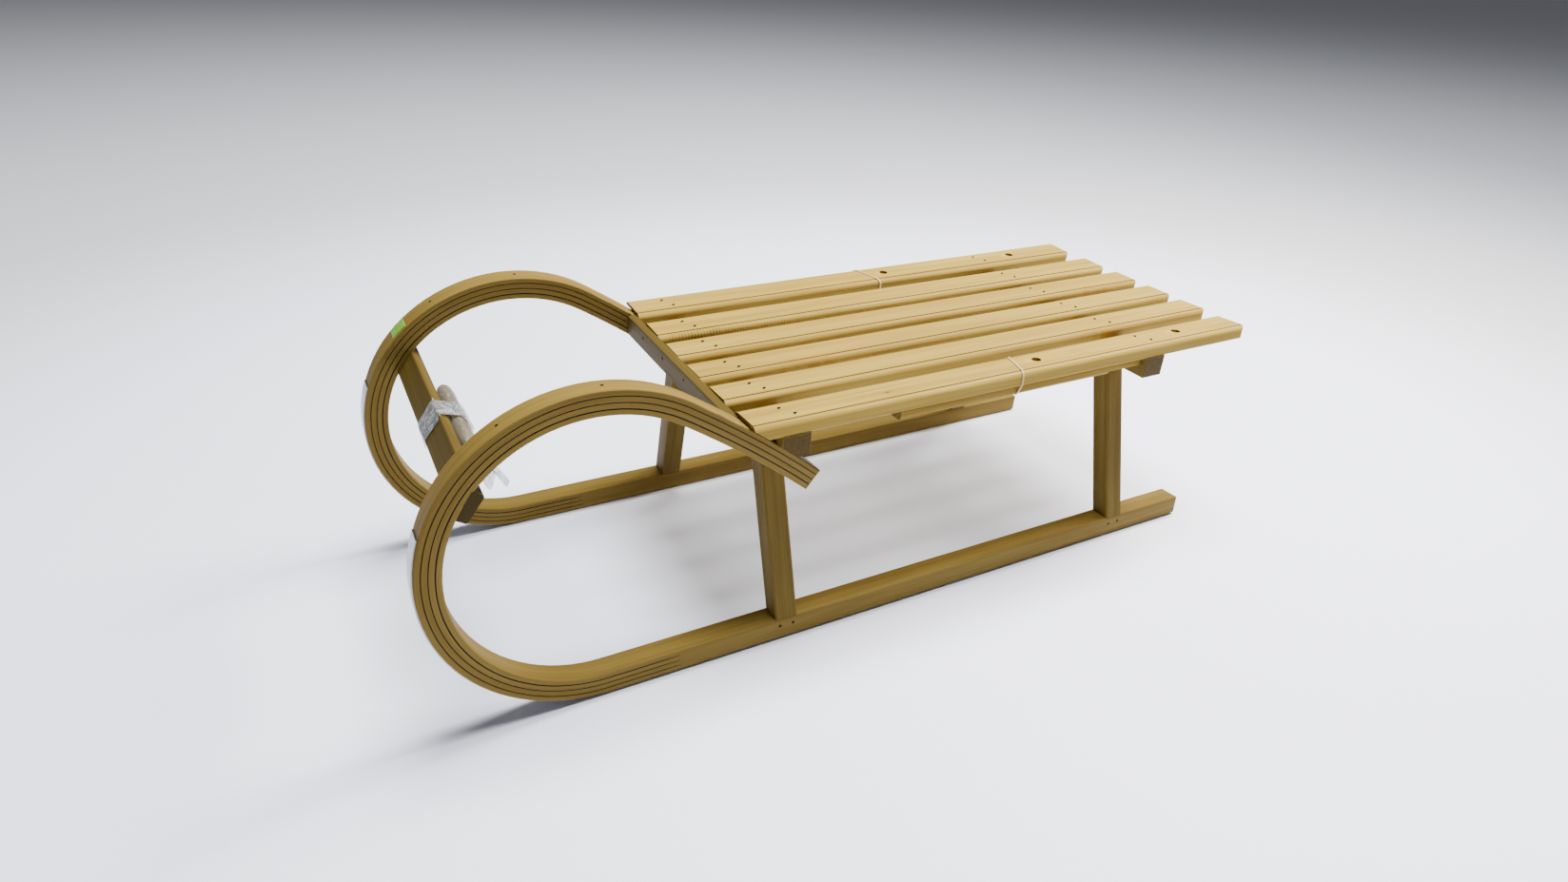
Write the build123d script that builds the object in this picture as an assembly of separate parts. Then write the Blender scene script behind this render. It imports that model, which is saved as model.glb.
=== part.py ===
from build123d import *
import math
import os

# Horned wooden sled. Millimetres, +X towards the horns, +Y to the sled's left, +Z up.
# While it is being built, x = 0 is the centre line of the rear nail row, and every part is
# moved by x_shift at the end, so that the origin is the bottom centre of the whole sled.

# ---- driving dimensions: runners and their horns ----
half_track = 194.0          # outer foot of a runner, from the middle of the sled
bar_width = 28.0            # runner bar, across the sled
bar_height = 26.0           # runner bar, up from the shoe
bar_round = 1.5             # rounded long edges of the bar
runner_lean = 2.5           # degrees that each runner leans in towards the top
runner_rear_x = -122.0      # rear end of the bar
runner_end_round = 4.0      # rounding of the rear end
bend_x = 735.0              # where the straight bar starts to bend up
bend_radius = 174.0         # outside radius of the front of the loop
crown_radius = 184.0        # outside radius over the top of the loop
crown_start = 50.0          # degrees above the front of the loop where the crown begins
crown_end = 123.0           # degrees above the front where the crown ends
tail_radius = 1300.0        # outside radius of the slack curve down to the seat
tail_turn = 8.0             # degrees of that slack curve

# ---- saw kerfs that split the bar into leaves, so that it can bend ----
leaf_count = 4
kerf_width = 0.8
kerf_depth = 1.2            # how far the glue line is sunk below the side faces
kerf_lead = 82.0            # how far the kerfs run back into the straight bar

# ---- steel shoes ----
shoe_thickness = 1.5
shoe_width = 22.0
shoe_top_angle = 21.0       # degrees above the front of the loop where the shoe ends
shoe_rear_gap = 6.0         # bare wood behind the shoe's rear end
shoe_screw_angle = 17.5
shoe_screw_x = [-104.0, 150.0, 400.0, 650.0]

# ---- legs ----
leg_splay = 15.5            # degrees that each leg leans in towards the top
leg_depth = 28.0            # along the sled
leg_round = 3.0
tenon_length = 20.0         # along the sled
tenon_width = 12.0          # across the sled
foot_tenon_height = 16.0
head_tenon_height = 14.0

# ---- yokes ----
yoke_front_setback = 215.0  # middle of the front yoke, behind the start of the bend
yoke_rear_x = 4.0
yoke_depth = 34.0           # along the sled
yoke_overhang = 1.0         # a yoke's end, out from the runner's outer foot
yoke_height = 20.6          # in the middle of the sled
yoke_round = 2.0
yoke_saddle_relief = 9.0    # the front yoke's cut for the horn starts this far inside the horn

# ---- seat ----
slat_count = 6
slat_width = 50.0
slat_thickness = 17.5
slat_pitch = 65.0
outer_gap_extra = 6.5       # the outermost slats stand this much further out
slat_quirk = 0.7            # small step at the top of each rounded edge
slat_edge_round = 6.5
slat_bottom_round = 1.5
slat_corner_round = 9.0
slat_end_round = 3.0
seat_radius = 3200.0        # the seat is this gently dished across
seat_height = 282.7         # middle of the seat's top
seat_rear_x = -173.0
seat_front_setback = 166.5  # front ends of the slats, behind the start of the bend
seat_rear_bow = 12.0        # the outermost slats end this much further forward
horn_clearance = 1.2        # between a horn and the cut front end of an outer slat

# ---- backrest holes ----
rest_hole_diameter = 12.0
rest_hole_front_x = 181.0
rest_hole_spacing = 236.0

# ---- front strip and front crossbar ----
strip_thickness = 12.0
strip_height = 26.0
strip_round = 1.5
crossbar_width = 32.0       # along the loop
crossbar_thickness = 12.0   # in from the loop's inside face
crossbar_angle = 36.7       # degrees above the front of the loop
crossbar_round = 2.5

# ---- stowed backrest posts, elastic bands and cord bag ----
post_width = 22.0
post_height = 15.5
post_round = 6.0
post_front_x = 385.0
post_foot_length = 52.0
post_foot_height = 11.0
post_slat_offset = 6.0      # post's middle, out from the slat's middle
post_gap = 0.2              # under the slat
band_width = 3.0
band_thickness = 1.2
band_slack = 0.6
band_x = [214.0, 210.0]     # left, right
bag_diameter = 21.0
bag_half_length = 76.0
bag_gap = 0.5
bag_angle = 43.0            # degrees above the front of the loop

# ---- nails and screws ----
nail_diameter = 2.2
nail_head_diameter = 4.0
nail_head_height = 0.7
nail_sink = 0.8             # depth of a head below the wood
slat_nail_length = 25.0
slat_nail_offset = 9.0      # from the slat's middle
slat_nail_stagger = 4.8
foot_nail_length = 22.0
foot_nail_offset = 8.5
horn_nail_length = 20.0
horn_nail_angles = [126.0, 94.0, 62.0]
crossbar_nail_length = 26.0
crossbar_nail_offset = 7.0
strip_nail_length = 34.0
screw_diameter = 3.5
screw_head_diameter = 7.0
screw_head_height = 2.2
shoe_screw_length = 16.0
horn_screw_length = 35.5
horn_screw_setback = 190.0  # behind the start of the bend

# ---- worked out from the sizes above ----
lean = math.radians(runner_lean)
shoe_inset = (bar_width - shoe_width) / 2
lift = (bar_width - shoe_inset) * math.sin(lean) + shoe_thickness * math.cos(lean)
slat_under_z = seat_height - slat_thickness
yoke_bottom_z = slat_under_z - yoke_height
yoke_half_length = half_track + yoke_overhang
yoke_front_x = bend_x - yoke_front_setback
seat_front_x = bend_x - seat_front_setback
horn_screw_x = bend_x - horn_screw_setback
half_count = (slat_count - 1) / 2
outer_slat_y = half_count * slat_pitch + outer_gap_extra


# ---- helpers ----
def tangent_centre(centre, radius, next_radius, angle):
    """Centre of the arc that carries on from an arc, tangent to it at an angle."""
    a = math.radians(angle)
    step = radius - next_radius
    return centre[0] + step * math.cos(a), centre[1] + step * math.sin(a)


loop_centre = (bend_x, bend_radius)
crown_centre = tangent_centre(loop_centre, bend_radius, crown_radius, crown_start)
tail_centre = tangent_centre(crown_centre, crown_radius, tail_radius, crown_end)
# Each stretch of the loop: centre, outside radius, first and last angle above the loop's front.
stretches = [
    (loop_centre, bend_radius, -90, crown_start),
    (crown_centre, crown_radius, crown_start, crown_end),
    (tail_centre, tail_radius, crown_end, crown_end + tail_turn),
]
tail_end = crown_end + tail_turn


def curve_edges(depth, start_x, end_angle):
    """The bar's outer curve, moved in by depth: a line, then tangent arcs up to an angle."""
    edges = [Line((start_x, depth), (bend_x, depth))]
    for centre, radius, first, last in stretches:
        if first < end_angle:
            edges.append(CenterArc(centre, radius - depth, first, min(last, end_angle) - first))
    return edges


def band(outside, inside, start_x, end_angle, width):
    """A bar between two depths of the curve, in the runner's own upright place, y from 0 to -width."""
    outer = curve_edges(outside, start_x, end_angle)
    inner = curve_edges(inside, start_x, end_angle)
    ends = [Line(outer[-1] @ 1, inner[-1] @ 1), Line(outer[0] @ 0, inner[0] @ 0)]
    return extrude(Plane.XZ * make_face(outer + inner + ends), width)


def lean_in(shape):
    """From a runner's own upright place to its leaning place on the left of the sled."""
    return Location((0, half_track, lift), (runner_lean, 0, 0)) * shape


def to_right(shape):
    return mirror(shape, about=Plane.XZ)


def on_loop(angle, depth):
    """Local x and z of a point on the loop, angle above its front, depth in from its outside."""
    a = math.radians(angle)
    centre, radius = next((c, r) for c, r, first, last in stretches if angle <= last)
    return centre[0] + (radius - depth) * math.cos(a), centre[1] + (radius - depth) * math.sin(a)


def nail(length):
    """A nail pointing down -Z, whose head is sunk below z = 0."""
    head = Pos(0, 0, -nail_sink - nail_head_height / 2) * Cylinder(nail_head_diameter / 2, nail_head_height)
    shank_length = length - nail_head_height
    shank = Pos(0, 0, -nail_sink - nail_head_height - shank_length / 2) * Cylinder(
        nail_diameter / 2, shank_length
    )
    return head + shank


def nail_hole(length):
    """The nail and the open mouth above its sunk head."""
    return nail(length) + Pos(0, 0, -nail_sink / 2) * Cylinder(nail_head_diameter / 2, nail_sink)


def screw(length):
    """A countersunk screw pointing down -Z, flush with z = 0, with a straight slot in its head."""
    head = Pos(0, 0, -screw_head_height / 2) * Cone(
        screw_diameter / 2, screw_head_diameter / 2, screw_head_height
    )
    shank_length = length - screw_head_height
    return head + Pos(0, 0, -screw_head_height - shank_length / 2) * Cylinder(screw_diameter / 2, shank_length)


def slotted(shape):
    slot_width = screw_head_diameter / 7
    return shape - Box(screw_head_diameter * 1.2, slot_width, slot_width * 2)


def radial(angle, across, depth):
    """Runner-local place whose -Z axis points into the loop from a point on its outside."""
    x, z = on_loop(angle, depth)
    return Location((x, -across, z), (0, 90 - angle, 0))


# ---- runner bar, upright ----
bar = band(0, bar_height, runner_rear_x, tail_end, bar_width)
rear_face = bar.faces().sort_by(Axis.X)[0]
bar = fillet(rear_face.edges(), runner_end_round)
side_faces = [bar.faces().sort_by(Axis.Y)[0], bar.faces().sort_by(Axis.Y)[-1]]
bar = fillet(side_faces[0].edges() + side_faces[1].edges(), bar_round)
horn_body = band(0, bar_height, runner_rear_x, tail_end, bar_width)
for leaf in range(1, leaf_count):
    middle = leaf * bar_height / leaf_count
    glue_line = band(
        middle - kerf_width / 2, middle + kerf_width / 2, bend_x - kerf_lead, tail_end, kerf_depth
    )
    bar -= glue_line + Pos(0, kerf_depth - bar_width, 0) * glue_line

# ---- steel shoe, upright ----
shoe = Pos(0, -shoe_inset, 0) * band(
    -shoe_thickness, 0, runner_rear_x + shoe_rear_gap, shoe_top_angle, shoe_width
)
shoe_places = [Location((x, -bar_width / 2, -shoe_thickness), (180, 0, 0)) for x in shoe_screw_x]
shoe_places.append(radial(shoe_screw_angle, bar_width / 2, -shoe_thickness))
shoe_screws = [place * screw(shoe_screw_length) for place in shoe_places]
for driven in shoe_screws:
    shoe -= driven
    bar -= driven

# ---- leg, left side, at x = 0 ----
splay = math.tan(math.radians(leg_splay))
foot_outer = (half_track - bar_height * math.sin(lean), lift + bar_height * math.cos(lean))
foot_inner = (foot_outer[0] - bar_width * math.cos(lean), foot_outer[1] - bar_width * math.sin(lean))
head_outer_y = foot_outer[0] - splay * (yoke_bottom_z - foot_outer[1])
head_inner_y = foot_inner[0] - splay * (yoke_bottom_z - foot_inner[1])
leg_outline = Polyline(
    foot_inner, foot_outer, (head_outer_y, yoke_bottom_z), (head_inner_y, yoke_bottom_z), close=True
)
leg = Pos(-leg_depth / 2, 0, 0) * extrude(Plane.YZ * make_face(leg_outline), leg_depth)
long_edges = leg.edges().filter_by(lambda e: e.length > leg_depth * 4)
leg = fillet(long_edges, leg_round)
foot_tenon = lean_in(
    Pos(0, -bar_width / 2, bar_height - foot_tenon_height / 2)
    * Box(tenon_length, tenon_width, foot_tenon_height)
)
head_tenon = Pos(0, (head_outer_y + head_inner_y) / 2, yoke_bottom_z + head_tenon_height / 2) * Box(
    tenon_length, tenon_width, head_tenon_height
)
leg = leg + foot_tenon + head_tenon

# ---- nails in the runner's outer face, one pair at each foot ----
foot_nail_z = bar_height - foot_tenon_height * 0.6
foot_nail_places = [
    Location((station + offset, 0, foot_nail_z), (-90, 0, 0))
    for station in (yoke_rear_x, yoke_front_x)
    for offset in (-foot_nail_offset, foot_nail_offset)
]
foot_nails = [place * nail(foot_nail_length) for place in foot_nail_places]
foot_holes = [place * nail_hole(foot_nail_length) for place in foot_nail_places]

# ---- nails through the crown of each horn ----
horn_nail_places = [radial(angle, bar_width / 2, 0) for angle in horn_nail_angles]
horn_nails = [place * nail(horn_nail_length) for place in horn_nail_places]
horn_holes = [place * nail_hole(horn_nail_length) for place in horn_nail_places]

# ---- front crossbar, on the inside of both loops ----
bar_x, bar_z = on_loop(crossbar_angle, bar_height)
crossbar_place = lean_in(Location((bar_x, 0, bar_z)))
crossbar_half = crossbar_place.position.Y
inner_radius = bend_radius - bar_height
saddle = inner_radius - math.sqrt(inner_radius**2 - (crossbar_width / 2) ** 2)
crossbar_box = Box(crossbar_thickness + saddle, 2 * crossbar_half, crossbar_width)
crossbar_box = fillet(crossbar_box.edges().filter_by(Axis.Y), crossbar_round)
crossbar_centre = bend_radius - bar_height - (crossbar_thickness - saddle) / 2
crossbar = (
    Location(
        (
            bend_x + crossbar_centre * math.cos(math.radians(crossbar_angle)),
            0,
            lift + bend_radius + crossbar_centre * math.sin(math.radians(crossbar_angle)),
        ),
        (0, -crossbar_angle, 0),
    )
    * crossbar_box
)
crossbar_nail_places = [
    radial(crossbar_angle, across, bar_height + crossbar_thickness) * Location((0, 0, 0), (180, 0, 0))
    for across in (bar_width / 2 - crossbar_nail_offset, bar_width / 2 + crossbar_nail_offset)
]
crossbar_nails = [place * nail(crossbar_nail_length) for place in crossbar_nail_places]
crossbar_holes = [place * nail_hole(crossbar_nail_length) for place in crossbar_nail_places]


# ---- seat slats ----
def slat_profile():
    """Half outline mirrored: flat top, a small step, a round edge, and eased bottom corners."""
    half = slat_width / 2
    top = slat_thickness
    crown_y = half - slat_edge_round
    points_right = [
        Line((0, 0), (half - slat_bottom_round, 0)),
        JernArc((half - slat_bottom_round, 0), (1, 0), slat_bottom_round, 90),
        Line((half, slat_bottom_round), (half, top - slat_quirk - slat_edge_round)),
        JernArc((half, top - slat_quirk - slat_edge_round), (0, 1), slat_edge_round, 90),
        Line((crown_y, top - slat_quirk), (crown_y, top)),
        Line((crown_y, top), (0, top)),
    ]
    half_face = make_face(points_right + [Line((0, top), (0, 0))])
    return half_face + mirror(half_face, about=Plane.YZ)


def slat_centre(index):
    """Distance of a slat's middle from the middle of the sled, positive on the left."""
    step = index - half_count
    extra = outer_gap_extra if abs(step) == half_count else 0
    return step * slat_pitch + math.copysign(extra, step)


def slat_place(index):
    """Where a slat's bottom middle rests on the dished yokes, tilted to them."""
    tilt = math.asin(slat_centre(index) / seat_radius)
    sagitta = seat_radius - math.sqrt(seat_radius**2 - (slat_width / 2) ** 2)
    radius = seat_radius - sagitta
    return Location(
        (0, radius * math.sin(tilt), slat_under_z + seat_radius - radius * math.cos(tilt)),
        (math.degrees(tilt), 0, 0),
    )


def slat_rear(index):
    """Rear end of a slat: the seat's rear edge is gently bowed."""
    return seat_rear_x + seat_rear_bow * (slat_centre(index) / outer_slat_y) ** 2


def slat_blank(index):
    """One slat in its own place: bottom at z = 0, middle at y = 0."""
    rear = slat_rear(index)
    length = seat_front_x - rear
    middle = (seat_front_x + rear) / 2
    body = extrude(Plane.YZ.offset(rear) * slat_profile(), length)
    plan = Pos(middle + slat_corner_round / 2, 0, 0) * extrude(
        RectangleRounded(length + slat_corner_round, slat_width, slat_corner_round), slat_thickness
    )
    side_outline = RectangleRounded(length + slat_end_round, slat_thickness * 2, slat_end_round)
    side = extrude(Plane.XZ * (Pos(middle + slat_end_round / 2, 0) * side_outline), slat_width, both=True)
    return body & plan & side


def slat_nail_places(index):
    return [
        Location((station + side * slat_nail_stagger, -side * slat_nail_offset, slat_thickness))
        for station in (yoke_rear_x, yoke_front_x)
        for side in (-1, 1)
    ]


rest_holes = [
    Pos(x, 0, slat_thickness / 2) * Cylinder(rest_hole_diameter / 2, slat_thickness * 2)
    for x in (rest_hole_front_x, rest_hole_front_x - rest_hole_spacing)
]
horn_cutter_width = slat_width / 2 + bar_width + horn_clearance
horn_cutter = lean_in(
    Pos(0, slat_width / 2, 0)
    * band(-horn_clearance, bar_height, bend_x - bar_height, tail_end, horn_cutter_width)
)
slats = []
slat_nails = []
slat_nail_holes = []
for index in range(slat_count):
    place = slat_place(index)
    slat = slat_blank(index)
    if index in (0, slat_count - 1):
        for hole in rest_holes:
            slat -= hole
    slat = place * slat
    slat_nails += [place * spot * nail(slat_nail_length) for spot in slat_nail_places(index)]
    holes = [place * spot * nail_hole(slat_nail_length) for spot in slat_nail_places(index)]
    slat_nail_holes += holes
    for hole in holes:
        slat -= hole
    slats.append(slat)
slats[-1] -= horn_cutter
slats[0] -= to_right(horn_cutter)

# ---- yokes ----
yoke_end_rise = seat_radius - math.sqrt(seat_radius**2 - yoke_half_length**2)
yoke_top = ThreePointArc(
    (-yoke_half_length, slat_under_z + yoke_end_rise),
    (0, slat_under_z),
    (yoke_half_length, slat_under_z + yoke_end_rise),
)
yoke_outline = [
    yoke_top,
    Line((yoke_half_length, slat_under_z + yoke_end_rise), (yoke_half_length, yoke_bottom_z)),
    Line((yoke_half_length, yoke_bottom_z), (-yoke_half_length, yoke_bottom_z)),
    Line((-yoke_half_length, yoke_bottom_z), (-yoke_half_length, slat_under_z + yoke_end_rise)),
]
yoke = Pos(-yoke_depth / 2, 0, 0) * extrude(Plane.YZ * make_face(yoke_outline), yoke_depth)
yoke = fillet(yoke.edges().filter_by(Axis.Z) + yoke.edges().filter_by(Axis.Y), yoke_round)
legs = {
    "rear_left": Pos(yoke_rear_x, 0, 0) * leg,
    "front_left": Pos(yoke_front_x, 0, 0) * leg,
}
legs["rear_right"] = to_right(legs["rear_left"])
legs["front_right"] = to_right(legs["front_left"])

horn_left = lean_in(horn_body)
saddle_width = yoke_depth + bar_width + yoke_saddle_relief
saddle_cut = lean_in(
    Pos(0, yoke_depth, 0) * band(0, 2 * yoke_depth, bend_x - bar_height, tail_end, saddle_width)
)
yoke_front = Pos(yoke_front_x, 0, 0) * yoke
yoke_front = yoke_front - saddle_cut - to_right(saddle_cut)
yoke_rear = Pos(yoke_rear_x, 0, 0) * yoke
for hole in slat_nail_holes:
    yoke_front -= hole
    yoke_rear -= hole
for name in legs:
    if name.startswith("rear"):
        yoke_rear -= legs[name]
    else:
        yoke_front -= legs[name]

# ---- screws that hold the horns' ends up to the front yoke ----
tail_depth_x = horn_screw_x - tail_centre[0]
tail_inner = tail_radius - bar_height
tail_low_z = tail_centre[1] + math.sqrt(tail_inner**2 - tail_depth_x**2)
tail_slope = math.degrees(math.asin(-tail_depth_x / tail_inner))
horn_screw_place = lean_in(
    Location((horn_screw_x, -bar_width / 2, tail_low_z), (0, -tail_slope, 0)) * Location((0, 0, 0), (180, 0, 0))
)
horn_screw = horn_screw_place * screw(horn_screw_length)
yoke_front = yoke_front - horn_screw - to_right(horn_screw)

# ---- runner, left side: mortises and nail holes ----
for station in (yoke_rear_x, yoke_front_x):
    bar -= Pos(station, -bar_width / 2, bar_height - foot_tenon_height / 2) * Box(
        tenon_length, tenon_width, foot_tenon_height
    )
for hole in foot_holes + horn_holes + crossbar_holes:
    bar -= hole
runner_left = lean_in(bar) - horn_screw
for name in ("rear_left", "front_left"):
    for hole in foot_holes:
        legs[name] -= lean_in(hole)
for name in ("rear_right", "front_right"):
    for hole in foot_holes:
        legs[name] -= to_right(lean_in(hole))
crossbar = crossbar - horn_left - to_right(horn_left)
for hole in crossbar_holes:
    crossbar = crossbar - lean_in(hole) - to_right(lean_in(hole))

# ---- front strip between the horns ----
strip_middle_z = seat_height - strip_height / 2
strip_box = Box(strip_thickness, 2 * half_track, strip_height)
strip_box = fillet(strip_box.edges().filter_by(Axis.Y), strip_round)
strip_x = seat_front_x + strip_thickness / 2
strip = Pos(strip_x, 0, strip_middle_z) * strip_box
strip_cut = lean_in(
    Pos(strip_x, half_track - bar_width, seat_height)
    * Box(2 * strip_height, 2 * half_track, 6 * strip_height)
)
strip = strip - strip_cut - to_right(strip_cut)
strip_nail_places = [
    Location((strip_x + strip_thickness / 2, slat_centre(index), strip_middle_z + 4), (0, 90, 0))
    for index in range(1, slat_count - 1)
]
strip_nails = [place * nail(strip_nail_length) for place in strip_nail_places]
for place in strip_nail_places:
    strip -= place * nail_hole(strip_nail_length)
for index, strip_nail in enumerate(strip_nails):
    slats[index + 1] -= strip_nail

# ---- backrest posts stowed under the outermost slats ----
post_rear_x = yoke_rear_x + yoke_depth / 2
post_length = post_front_x - post_rear_x
post_profile = RectangleRounded(post_width, post_height, post_round)
post_body = Pos(0, post_slat_offset, -post_gap - post_height / 2) * extrude(
    Plane.YZ.offset(post_rear_x) * post_profile, post_length
)
foot_relief = Pos(
    post_rear_x + post_foot_length / 2, post_slat_offset, -post_gap - post_foot_height - post_height / 2
) * Box(post_foot_length, post_width * 2, post_height)
post_left = slat_place(slat_count - 1) * (post_body - foot_relief)
post_right = to_right(post_left)


# ---- elastic bands round an outermost slat and its post ----
def elastic(x):
    inner_y0 = -slat_width / 2 - band_slack
    inner_y1 = slat_width / 2 + band_slack
    inner_z0 = -post_gap - post_height - band_slack
    inner_z1 = slat_thickness + band_slack
    width = inner_y1 - inner_y0
    height = inner_z1 - inner_z0
    inner = RectangleRounded(width, height, 2)
    outer = RectangleRounded(width + 2 * band_thickness, height + 2 * band_thickness, 2 + band_thickness)
    ring = Pos((inner_y0 + inner_y1) / 2, (inner_z0 + inner_z1) / 2) * (outer - inner)
    return extrude(Plane.YZ.offset(x - band_width / 2) * ring, band_width)


band_left = slat_place(slat_count - 1) * elastic(band_x[0])
band_right = to_right(slat_place(slat_count - 1) * elastic(band_x[1]))

# ---- cord bag rolled up behind the crossbar ----
bag_radius = bag_diameter / 2
bag_centre = bend_radius - bar_height - crossbar_thickness - bag_radius - bag_gap
bag_x, bag_z = on_loop(bag_angle, bend_radius - bag_centre)
bag_body = Rot(90, 0, 0) * Cylinder(bag_radius, 2 * bag_half_length)
bag_body = fillet(bag_body.edges().filter_by(GeomType.CIRCLE), bag_radius * 0.8)
cord_bag = Pos(bag_x, 0, lift + bag_z) * bag_body

# ---- write one STEP per node ----
nodes = {
    "runner_left": runner_left,
    "runner_right": to_right(runner_left),
    "shoe_left": lean_in(shoe),
    "shoe_right": to_right(lean_in(shoe)),
    "yoke_front": yoke_front,
    "yoke_rear": yoke_rear,
    "front_strip": strip,
    "front_crossbar": crossbar,
    "backrest_post_left": post_left,
    "backrest_post_right": post_right,
    "elastic_band_left": band_left,
    "elastic_band_right": band_right,
    "cord_bag": cord_bag,
}
for name, shape in legs.items():
    nodes["leg_" + name] = shape
for index, shape in enumerate(slats):
    nodes[f"seat_slat_{index + 1}"] = shape


def both_sides(shapes):
    placed = [lean_in(shape) for shape in shapes]
    return placed + [to_right(shape) for shape in placed]


fasteners = {
    "slat_nails": slat_nails,
    "foot_nails": both_sides(foot_nails),
    "horn_nails": both_sides(horn_nails),
    "crossbar_nails": both_sides(crossbar_nails),
    "strip_nails": strip_nails,
    "shoe_screws": both_sides([place * slotted(screw(shoe_screw_length)) for place in shoe_places]),
    "horn_screws": [horn_screw, to_right(horn_screw)],
}
for name, shapes in fasteners.items():
    nodes[name] = Compound(children=[shape if isinstance(shape, Solid) else shape.solid() for shape in shapes])

front_x = bend_x + bend_radius + shoe_thickness
rear_x = min(slat_rear(index) for index in range(slat_count))
x_shift = -(front_x + rear_x) / 2
os.makedirs("parts", exist_ok=True)
for name, shape in nodes.items():
    export_step(Pos(x_shift, 0, 0) * shape, f"parts/{name}.step")
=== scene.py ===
import math

import bmesh
import bpy
import numpy as np
from bpy.props import FloatProperty, FloatVectorProperty, PointerProperty
from mathutils import Matrix, Vector


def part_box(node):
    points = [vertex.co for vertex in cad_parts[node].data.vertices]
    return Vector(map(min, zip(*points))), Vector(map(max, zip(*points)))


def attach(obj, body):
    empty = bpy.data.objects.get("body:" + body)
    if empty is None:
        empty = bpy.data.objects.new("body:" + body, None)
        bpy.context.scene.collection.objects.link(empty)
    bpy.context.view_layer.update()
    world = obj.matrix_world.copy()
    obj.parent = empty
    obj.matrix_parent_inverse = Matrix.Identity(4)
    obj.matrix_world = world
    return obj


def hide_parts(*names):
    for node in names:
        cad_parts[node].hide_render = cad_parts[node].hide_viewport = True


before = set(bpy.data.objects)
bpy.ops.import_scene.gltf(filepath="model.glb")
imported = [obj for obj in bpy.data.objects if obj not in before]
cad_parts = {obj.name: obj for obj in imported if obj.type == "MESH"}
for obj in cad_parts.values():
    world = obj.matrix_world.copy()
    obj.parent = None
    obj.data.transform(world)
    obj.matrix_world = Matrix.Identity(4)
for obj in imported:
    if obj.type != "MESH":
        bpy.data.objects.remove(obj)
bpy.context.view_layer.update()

bl_info = {
    "name": "Wooden toboggan",
    "version": (1, 0, 0),
    "blender": (4, 2, 0),
    "location": "3D View > Sidebar > Toboggan",
    "description": "Finishes a horned wooden sled: its wood, steel, elastic bands, cord bag and stage",
    "category": "Object",
}

# ---- sizes in metres, and places worked out from the frame ----
SEAT_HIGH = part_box("seat_slat_3")[1]
RUNNER_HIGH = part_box("runner_left")[1]
LOOP_RADIUS = 0.174
CROWN_RADIUS = 0.184
TAIL_RADIUS = 1.300
CROWN_START = math.radians(50)
CROWN_END = math.radians(123)
BAR_HEIGHT = 0.026
BAR_WIDTH = 0.028
LEAN = math.radians(2.5)
LEG_SPLAY = math.radians(15.5)
KERF_LEAD = 0.084
FOOT_Y = RUNNER_HIGH.y
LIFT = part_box("shoe_left")[0].z + 0.0026
LOOP_X = RUNNER_HIGH.x - LOOP_RADIUS
QUIRK_INSET = 0.0066
NAIL_STAGGER = 0.0048
NAIL_OFFSET = 0.009
NAIL_ROW_X = (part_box("yoke_rear")[0].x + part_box("yoke_rear")[1].x) / 2 - 0.004
STICKER_ANGLE = math.radians(46.8)
TOP_SHARE = 4.2
CAMERA_ROLL = math.radians(-2.774)


# ---- settings a user may change ----
class WoodSettings(bpy.types.PropertyGroup):
    light: FloatVectorProperty(
        name="Light wood", description="Early wood under clear varnish",
        subtype="COLOR", size=3, default=(0.400, 0.268, 0.048), min=0, max=1,
    )
    dark: FloatVectorProperty(
        name="Dark wood", description="Late wood under clear varnish",
        subtype="COLOR", size=3, default=(0.265, 0.162, 0.024), min=0, max=1,
    )
    line: FloatVectorProperty(
        name="Glue line", description="Dark line between the leaves of a bent runner",
        subtype="COLOR", size=3, default=(0.018, 0.009, 0.003), min=0, max=1,
    )
    roughness: FloatProperty(
        name="Roughness", description="How dull the varnish is",
        subtype="FACTOR", default=0.60, min=0, max=1,
    )


class TrimSettings(bpy.types.PropertyGroup):
    steel: FloatVectorProperty(
        name="Steel", description="Shoes and screws",
        subtype="COLOR", size=3, default=(0.26, 0.255, 0.25), min=0, max=1,
    )
    nail: FloatVectorProperty(
        name="Nail", description="Sunk nail heads",
        subtype="COLOR", size=3, default=(0.006, 0.004, 0.003), min=0, max=1,
    )
    rubber: FloatVectorProperty(
        name="Elastic", description="Elastic bands",
        subtype="COLOR", size=3, default=(0.52, 0.38, 0.17), min=0, max=1,
    )
    band_thickness: FloatProperty(
        name="Elastic thickness", description="Thickness of an elastic band",
        subtype="DISTANCE", default=0.0009, min=0.0003, max=0.002,
    )
    sticker: FloatVectorProperty(
        name="Sticker", description="Blank sticker on the right horn",
        subtype="COLOR", size=3, default=(0.14, 0.30, 0.02), min=0, max=1,
    )
    sticker_size: FloatProperty(
        name="Sticker size", description="Side of the blank sticker",
        subtype="DISTANCE", default=0.021, min=0.005, max=0.028,
    )


class FilmSettings(bpy.types.PropertyGroup):
    tint: FloatVectorProperty(
        name="Film", description="Clear film, slightly grey",
        subtype="COLOR", size=3, default=(0.46, 0.47, 0.48), min=0, max=1,
    )
    cord: FloatVectorProperty(
        name="Cord", description="Folded cord seen through the bag",
        subtype="COLOR", size=3, default=(0.17, 0.145, 0.095), min=0, max=1,
    )
    tail_length: FloatProperty(
        name="Film tail", description="How far the torn film hangs out of the roll's end",
        subtype="DISTANCE", default=0.050, min=0.01, max=0.08,
    )


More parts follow.
